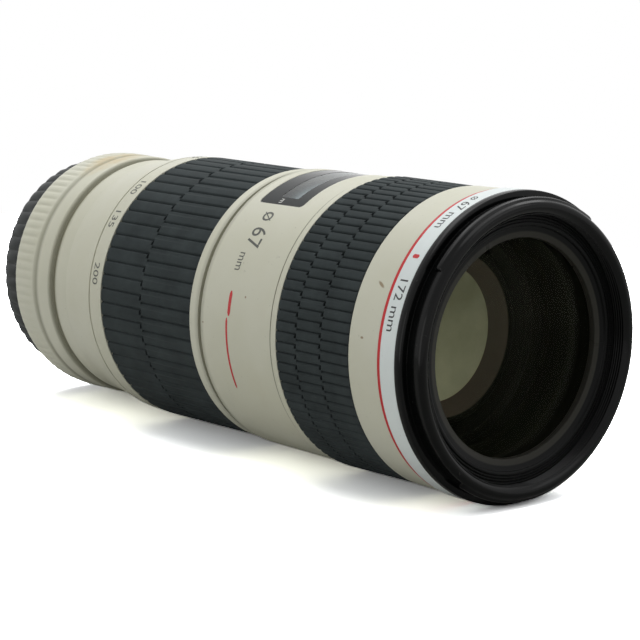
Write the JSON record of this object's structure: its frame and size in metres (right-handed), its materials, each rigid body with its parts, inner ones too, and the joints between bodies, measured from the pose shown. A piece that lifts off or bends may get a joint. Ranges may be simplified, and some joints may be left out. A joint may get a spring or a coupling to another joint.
{
  "type": "camera zoom lens",
  "caption": "White telephoto zoom lens with a working zoom cam, focus drive, iris, stabiliser, slide switches and rear cap.",
  "frame": {"origin": "centre of the mount flange on the optical axis", "axes": "+X along the optical axis out of the front glass, +Z towards the distance window, +Y towards the switches"},
  "size_m": [0.181, 0.0778, 0.077],
  "materials": {
    "cream_paint": "satin",
    "silver_paint": "satin",
    "red_paint": "gloss",
    "black_gloss_metal": "gloss",
    "black_matt_metal": "matte",
    "black_aluminium": "matte",
    "plain_aluminium": "satin",
    "grip_rubber": "matte",
    "seal_rubber": "matte",
    "front_glass": "gloss",
    "inner_glass": "gloss",
    "smoked_pane": "gloss",
    "mount_chrome": "polished",
    "steel": "brushed",
    "gold_brass": "polished",
    "black_plastic": "matte",
    "cap_plastic": "matte",
    "roller_brass": "satin",
    "board_green": "satin",
    "scale_black": "matte",
    "switch_grey": "satin"
  },
  "bodies": {
    "housing": {"lens_mount": "mount_chrome", "mount_screws": "steel", "mount_gasket": "seal_rubber", "rear_barrel": "cream_paint", "mount_collar": "cream_paint", "rear_baffle": "black_plastic", "contact_block": "black_plastic", "contact_pins": "gold_brass", "main_board": "board_green", "rear_cell": "black_aluminium", "rear_lenses": "inner_glass", "guide_barrel": "black_aluminium", "stabiliser_cup": "black_plastic", "iris_housing": "black_plastic", "main_barrel": "cream_paint", "distance_window": "smoked_pane", "switch_panel": "black_plastic", "front_barrel": "cream_paint", "motor_stator": "steel", "red_ring": "red_paint", "name_band": "silver_paint", "front_ring": "black_gloss_metal", "front_cell": "black_aluminium", "front_lenses": "front_glass", "front_retainer": "black_matt_metal"},
    "zoom_group": {"zoom_ring": "cream_paint", "zoom_grip": "grip_rubber", "zoom_key_screws": "steel", "cam_barrel": "plain_aluminium"},
    "variator": {"variator_cell": "black_aluminium", "variator_rollers": "roller_brass", "variator_lenses": "inner_glass"},
    "compensator": {"compensator_cell": "black_aluminium", "compensator_rollers": "roller_brass", "compensator_lens": "inner_glass"},
    "focus_ring": {"focus_ring": "cream_paint", "focus_grip": "grip_rubber"},
    "focus_cam": {"focus_cam": "plain_aluminium", "distance_scale": "scale_black"},
    "focus_cell": {"focus_cell": "black_aluminium", "focus_rollers": "roller_brass", "focus_lenses": "inner_glass"},
    "motor_rotor": {"motor_rotor": "plain_aluminium"},
    "iris_ring": {"iris_ring": "black_plastic"},
    "yaw_frame": {"yaw_frame": "black_plastic"},
    "pitch_frame": {"pitch_frame": "black_plastic", "stabiliser_lens": "inner_glass"},
    "rear_cap": {"rear_cap": "cap_plastic"},
    "iris_blade_1": {"iris_blade_1": "black_matt_metal"},
    "iris_blade_2": {"iris_blade_2": "black_matt_metal"},
    "iris_blade_3": {"iris_blade_3": "black_matt_metal"},
    "iris_blade_4": {"iris_blade_4": "black_matt_metal"},
    "iris_blade_5": {"iris_blade_5": "black_matt_metal"},
    "iris_blade_6": {"iris_blade_6": "black_matt_metal"},
    "iris_blade_7": {"iris_blade_7": "black_matt_metal"},
    "iris_blade_8": {"iris_blade_8": "black_matt_metal"},
    "focus_limiter_switch": {"focus_limiter_switch": "switch_grey"},
    "focus_mode_switch": {"focus_mode_switch": "switch_grey"},
    "stabiliser_switch": {"stabiliser_switch": "switch_grey"},
    "stabiliser_mode_switch": {"stabiliser_mode_switch": "switch_grey"}
  },
  "joints": [
    {"name": "zoom_turn", "type": "hinge", "parent": "housing", "child": "zoom_group", "pos_m": [0, 0, 0], "axis": [-1, 0, 0], "range_deg": [0, 78]},
    {"name": "variator_slide", "type": "slide", "parent": "housing", "child": "variator", "axis": [-1, 0, 0], "range_m": [0, 0.016]},
    {"name": "compensator_slide", "type": "slide", "parent": "housing", "child": "compensator", "axis": [1, 0, 0], "range_m": [0, 0.005]},
    {"name": "focus_turn", "type": "hinge", "parent": "housing", "child": "focus_ring", "pos_m": [0, 0, 0], "axis": [-1, 0, 0], "range_deg": [0, 120]},
    {"name": "focus_cam_turn", "type": "hinge", "parent": "housing", "child": "focus_cam", "pos_m": [0, 0, 0], "axis": [-1, 0, 0], "range_deg": [0, 60]},
    {"name": "focus_cell_slide", "type": "slide", "parent": "housing", "child": "focus_cell", "axis": [-1, 0, 0], "range_m": [0, 0.008]},
    {"name": "motor_turn", "type": "hinge", "parent": "housing", "child": "motor_rotor", "pos_m": [0, 0, 0], "axis": [1, 0, 0], "continuous": true},
    {"name": "iris_ring_turn", "type": "hinge", "parent": "housing", "child": "iris_ring", "pos_m": [0, 0, 0], "axis": [1, 0, 0], "range_deg": [0, 25]},
    {"name": "yaw_slide", "type": "slide", "parent": "housing", "child": "yaw_frame", "axis": [0, 1, 0], "range_m": [-0.001, 0.001], "stiffness_N_per_m": 900},
    {"name": "pitch_slide", "type": "slide", "parent": "yaw_frame", "child": "pitch_frame", "axis": [0, 0, 1], "range_m": [-0.001, 0.001], "stiffness_N_per_m": 900},
    {"name": "cap_pull", "type": "slide", "parent": "housing", "child": "rear_cap", "axis": [-1, 0, 0], "range_m": [0, 0.03]},
    {"name": "iris_blade_1_turn", "type": "hinge", "parent": "housing", "child": "iris_blade_1", "pos_m": [0.03555, 0.0224, 0], "axis": [1, 0, 0], "range_deg": [0, 30]},
    {"name": "iris_blade_2_turn", "type": "hinge", "parent": "housing", "child": "iris_blade_2", "pos_m": [0.03585, 0.01584, 0.01584], "axis": [1, 0, 0], "range_deg": [0, 30]},
    {"name": "iris_blade_3_turn", "type": "hinge", "parent": "housing", "child": "iris_blade_3", "pos_m": [0.03615, 0, 0.0224], "axis": [1, 0, 0], "range_deg": [0, 30]},
    {"name": "iris_blade_4_turn", "type": "hinge", "parent": "housing", "child": "iris_blade_4", "pos_m": [0.03645, -0.01584, 0.01584], "axis": [1, 0, 0], "range_deg": [0, 30]},
    {"name": "iris_blade_5_turn", "type": "hinge", "parent": "housing", "child": "iris_blade_5", "pos_m": [0.03675, -0.0224, 0], "axis": [1, 0, 0], "range_deg": [0, 30]},
    {"name": "iris_blade_6_turn", "type": "hinge", "parent": "housing", "child": "iris_blade_6", "pos_m": [0.03705, -0.01584, -0.01584], "axis": [1, 0, 0], "range_deg": [0, 30]},
    {"name": "iris_blade_7_turn", "type": "hinge", "parent": "housing", "child": "iris_blade_7", "pos_m": [0.03735, 0, -0.0224], "axis": [1, 0, 0], "range_deg": [0, 30]},
    {"name": "iris_blade_8_turn", "type": "hinge", "parent": "housing", "child": "iris_blade_8", "pos_m": [0.03765, 0.01584, -0.01584], "axis": [1, 0, 0], "range_deg": [0, 30]},
    {"name": "focus_limiter_switch_slide", "type": "slide", "parent": "housing", "child": "focus_limiter_switch", "axis": [1, 0, 0], "range_m": [0, 0.0036]},
    {"name": "focus_mode_switch_slide", "type": "slide", "parent": "housing", "child": "focus_mode_switch", "axis": [1, 0, 0], "range_m": [0, 0.0036]},
    {"name": "stabiliser_switch_slide", "type": "slide", "parent": "housing", "child": "stabiliser_switch", "axis": [1, 0, 0], "range_m": [0, 0.0036]},
    {"name": "stabiliser_mode_switch_slide", "type": "slide", "parent": "housing", "child": "stabiliser_mode_switch", "axis": [1, 0, 0], "range_m": [0, 0.0036]}
  ],
  "couplings": [
    {"joint": "variator_slide", "follows": "zoom_turn", "m_per_rad": 0.011753},
    {"joint": "compensator_slide", "follows": "zoom_turn", "m_per_rad": 0.0036728},
    {"joint": "focus_cam_turn", "follows": "focus_turn", "ratio": 0.5},
    {"joint": "focus_cell_slide", "follows": "focus_turn", "m_per_rad": 0.0038197},
    {"joint": "iris_blade_1_turn", "follows": "iris_ring_turn", "ratio": 1.2},
    {"joint": "iris_blade_2_turn", "follows": "iris_ring_turn", "ratio": 1.2},
    {"joint": "iris_blade_3_turn", "follows": "iris_ring_turn", "ratio": 1.2},
    {"joint": "iris_blade_4_turn", "follows": "iris_ring_turn", "ratio": 1.2},
    {"joint": "iris_blade_5_turn", "follows": "iris_ring_turn", "ratio": 1.2},
    {"joint": "iris_blade_6_turn", "follows": "iris_ring_turn", "ratio": 1.2},
    {"joint": "iris_blade_7_turn", "follows": "iris_ring_turn", "ratio": 1.2},
    {"joint": "iris_blade_8_turn", "follows": "iris_ring_turn", "ratio": 1.2}
  ]
}
